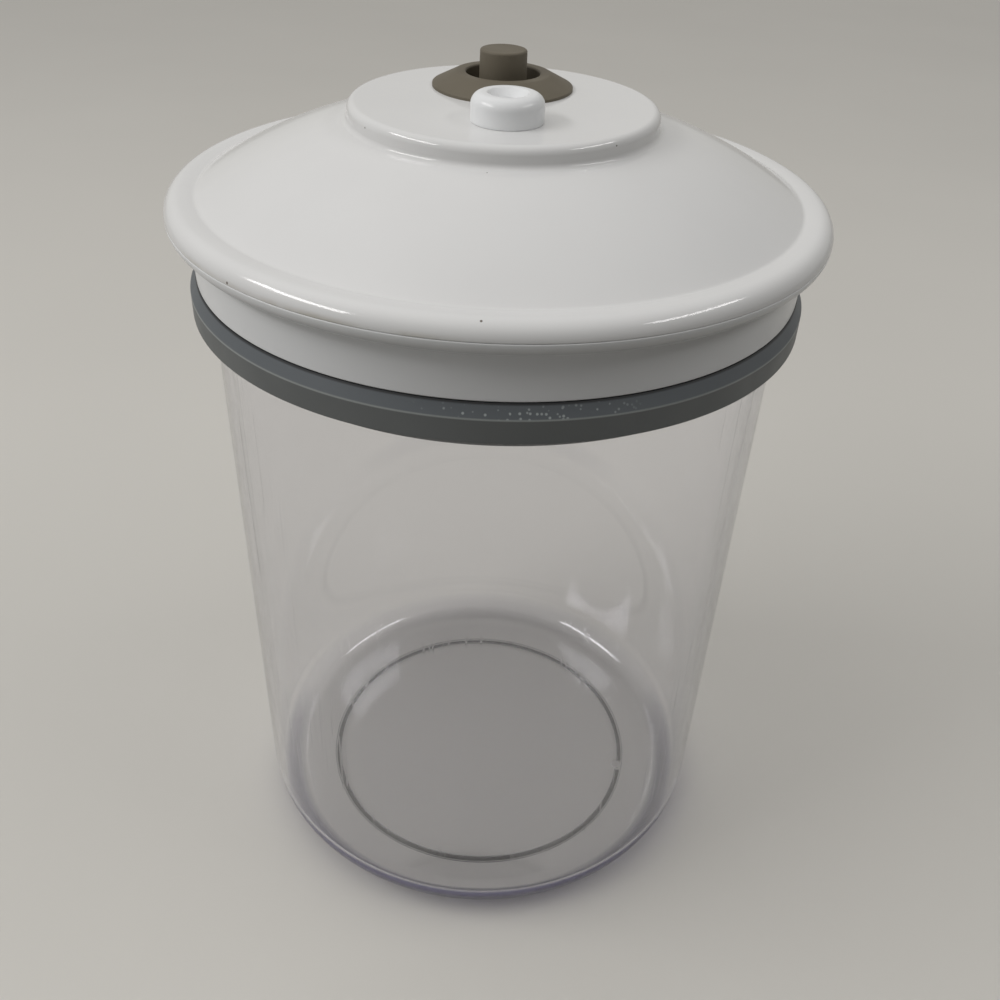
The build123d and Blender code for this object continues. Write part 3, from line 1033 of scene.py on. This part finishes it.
class CANISTER_OT_inner_pieces(bpy.types.Operator):
    """Wind the return spring and finish the stem, disc, clip and rubber pieces."""

    bl_idname = "canister.inner_pieces"
    bl_label = "Inner pieces"

    points_in_turn = 32
    wire_detail = 6
    roughness = 0.55
    grain = 0.0003

    def spring(self, settings):
        """The return spring as one round wire at rest, though the real one shortens as the button
        goes down.
        """
        wire = settings.wire
        radius = (spring_high.x - spring_low.x - wire) / 2
        low = spring_low.z + wire / 2
        length = spring_high.z - spring_low.z - wire
        curve = bpy.data.curves.new("spring_wire", "CURVE")
        curve.dimensions = "3D"
        curve.bevel_depth = wire / 2
        curve.bevel_resolution = self.wire_detail
        curve.use_fill_caps = True
        line = curve.splines.new("POLY")
        count = settings.turns * self.points_in_turn
        line.points.add(count)
        for step in range(count + 1):
            turn = 2 * math.pi * step / self.points_in_turn
            x = radius * math.cos(turn)
            y = valve_y + radius * math.sin(turn)
            line.points[step].co = (x, y, low + length * step / count, 1.0)
        wound = linked("spring_line", curve)
        bpy.context.view_layer.update()
        mesh = bpy.data.meshes.new_from_object(wound)
        bpy.data.objects.remove(wound)
        return linked("wound_spring", mesh)

    def execute(self, context):
        settings = context.scene.canister_valve
        steel = spring_steel(settings.steel)
        spring = self.spring(settings)
        finish_piece(spring, "lid", "return_spring", steel)
        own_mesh(spring)
        stem = dull_plastic("stem_plastic", settings.stem)
        seals = rubber("valve_rubber", settings.seals, self.roughness, self.grain)
        finishes = {
            "valve_stem": stem,
            "valve_disc": stem,
            "retaining_clip": steel,
            "valve_seal": seals,
            "port_o_ring": seals,
            "check_valve": seals,
        }
        for node, material in finishes.items():
            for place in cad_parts[node].material_slots:
                place.material = material
        return {"FINISHED"}


class CANISTER_OT_stage(bpy.types.Operator):
    """Set up the floor, the lamps, the world and the camera."""

    bl_idname = "canister.stage"
    bl_label = "Stage"

    floor_size = 8.0
    floor_parts = 8
    floor_gap = 0.0002
    floor_bounce = 0.3
    camera_place = (-0.01085, -0.23895, 0.2678)
    camera_pitch = 0.615
    camera_yaw = 0.0584
    camera_roll = 0.046
    sensor = 36.0
    light_even = 0.14
    light_slope = (-0.42, 0.08, 0.12)
    light_least = 0.02
    light_above = 0.68
    white = (1.0, 0.99, 0.98)
    left_window = ((-0.85, -0.18, 0.87), (0.75, 0.16))  # place and size
    right_window = ((0.8, -0.17, 0.93), (0.7, 0.1))

    def floor(self, settings):
        """A wide plain floor with a faint unevenness of tone, which throws back little light."""
        mesh_maker = bmesh.new()
        parts = self.floor_parts
        half = self.floor_size / 2
        bmesh.ops.create_grid(mesh_maker, x_segments=parts, y_segments=parts, size=half)
        mesh = bpy.data.meshes.new("floor")
        mesh_maker.to_mesh(mesh)
        mesh.transform(Matrix.Translation((0.0, 0.0, -self.floor_gap)))
        mesh_maker.free()
        floor = linked("floor", mesh)
        tint = settings.floor
        finish = Finish("floor")
        tone = finish.noise(scale=5.0, detail=3.0)
        pale = finish.blend(tone, shaded(tint, share=0.97), shaded(tint, share=1.03))
        finish.set(
            Base_Color=finish.blend(finish.seen(), shaded(tint, self.floor_bounce), pale),
            Roughness=0.9,
            Specular_IOR_Level=0.1,
        )
        floor.data.materials.append(finish.material)

    def window(self, name, power, place, size):
        """A rectangular lamp that faces the top of the lid."""
        light = bpy.data.lights.new(name, "AREA")
        light.shape = "RECTANGLE"
        light.size, light.size_y = size
        light.energy = power
        light.color = self.white
        lamp = linked(name, light)
        lamp.location = place
        towards = Vector((0.0, 0.0, cover_high.z)) - Vector(place)
        lamp.rotation_euler = towards.to_track_quat("-Z", "Y").to_euler()

    def camera(self, settings):
        """The camera at the angle from which the canister was seen."""
        pitch, yaw, roll = self.camera_pitch, self.camera_yaw, self.camera_roll
        flat = math.cos(pitch)
        forward = Vector((math.sin(yaw) * flat, math.cos(yaw) * flat, -math.sin(pitch)))
        level = forward.cross(Vector((0, 0, 1))).normalized()
        upright = level.cross(forward)
        across = level * math.cos(roll) + upright * math.sin(roll)
        up = upright * math.cos(roll) - level * math.sin(roll)
        data = bpy.data.cameras.new("camera")
        data.lens = settings.lens
        data.sensor_width = self.sensor
        camera = linked("camera", data)
        turn = Matrix((across, up, -forward)).transposed().to_4x4()
        camera.matrix_world = Matrix.Translation(self.camera_place) @ turn
        bpy.context.scene.camera = camera

    def world(self, settings):
        """Soft light that grows upwards, to the back and to the left, behind a plain backdrop."""
        world = bpy.data.worlds.new("studio")
        world.use_nodes = True
        sky = Nodes(world.node_tree, "Generated")
        facing = sky.compare("DOT_PRODUCT", sky.place, self.light_slope)
        light = sky.math("MAXIMUM", sky.math("ADD", facing, self.light_even), self.light_least)
        upward = sky.compare("DOT_PRODUCT", sky.place, (0.0, 0.0, 1.0))
        glow = sky.span(upward, low=0.6, high=0.95, to_low=0.0, to_high=self.light_above)
        light = sky.math("ADD", light, glow)
        background = world.node_tree.nodes["Background"]
        sky.feed(background.inputs["Strength"], sky.times(light, settings.sky))
        sky.feed(background.inputs["Color"], colour(self.white))
        behind = {"Color": colour(settings.backdrop), "Strength": sky.math("ADD", glow, 1.0)}
        plain = sky.node("ShaderNodeBackground", **behind)
        surface = sky.mixed(sky.seen(), background, plain)
        sky.feed(world.node_tree.nodes["World Output"].inputs["Surface"], surface)
        bpy.context.scene.world = world

    def execute(self, context):
        settings = context.scene.canister_stage
        self.camera(settings)
        self.world(settings)
        self.floor(settings)
        self.window("left_window", settings.left, *self.left_window)
        self.window("right_window", settings.right, *self.right_window)
        context.scene.view_settings.view_transform = "Standard"
        return {"FINISHED"}


class CANISTER_PT_panel(bpy.types.Panel):
    """Lists what can be built."""

    bl_idname = "CANISTER_PT_panel"
    bl_label = "Vacuum canister"
    bl_space_type = "VIEW_3D"
    bl_region_type = "UI"
    bl_category = "Canister"

    def draw(self, context):
        for operator in operators:
            self.layout.operator(operator.bl_idname)


operators = (
    CANISTER_OT_stage,
    CANISTER_OT_body,
    CANISTER_OT_cover,
    CANISTER_OT_base,
    CANISTER_OT_gasket,
    CANISTER_OT_valve_tops,
    CANISTER_OT_inner_pieces,
)
settings_groups = {
    "canister_body": BodySettings,
    "canister_lid": LidSettings,
    "canister_valve": ValveSettings,
    "canister_stage": StageSettings,
}


def register():
    """Make the settings, operators and panel known."""
    for name, group in settings_groups.items():
        bpy.utils.register_class(group)
        setattr(bpy.types.Scene, name, PointerProperty(type=group))
    for operator in operators:
        bpy.utils.register_class(operator)
    bpy.utils.register_class(CANISTER_PT_panel)


def unregister():
    """Take the panel, operators and settings away again."""
    bpy.utils.unregister_class(CANISTER_PT_panel)
    for operator in reversed(operators):
        bpy.utils.unregister_class(operator)
    for name, group in settings_groups.items():
        delattr(bpy.types.Scene, name)
        bpy.utils.unregister_class(group)


def main():
    """Build everything in order."""
    register()
    bpy.ops.canister.stage()
    bpy.ops.canister.body()
    bpy.ops.canister.cover()
    bpy.ops.canister.base()
    bpy.ops.canister.gasket()
    bpy.ops.canister.valve_tops()
    bpy.ops.canister.inner_pieces()
    bpy.context.view_layer.update()


if __name__ == "__main__":
    main()
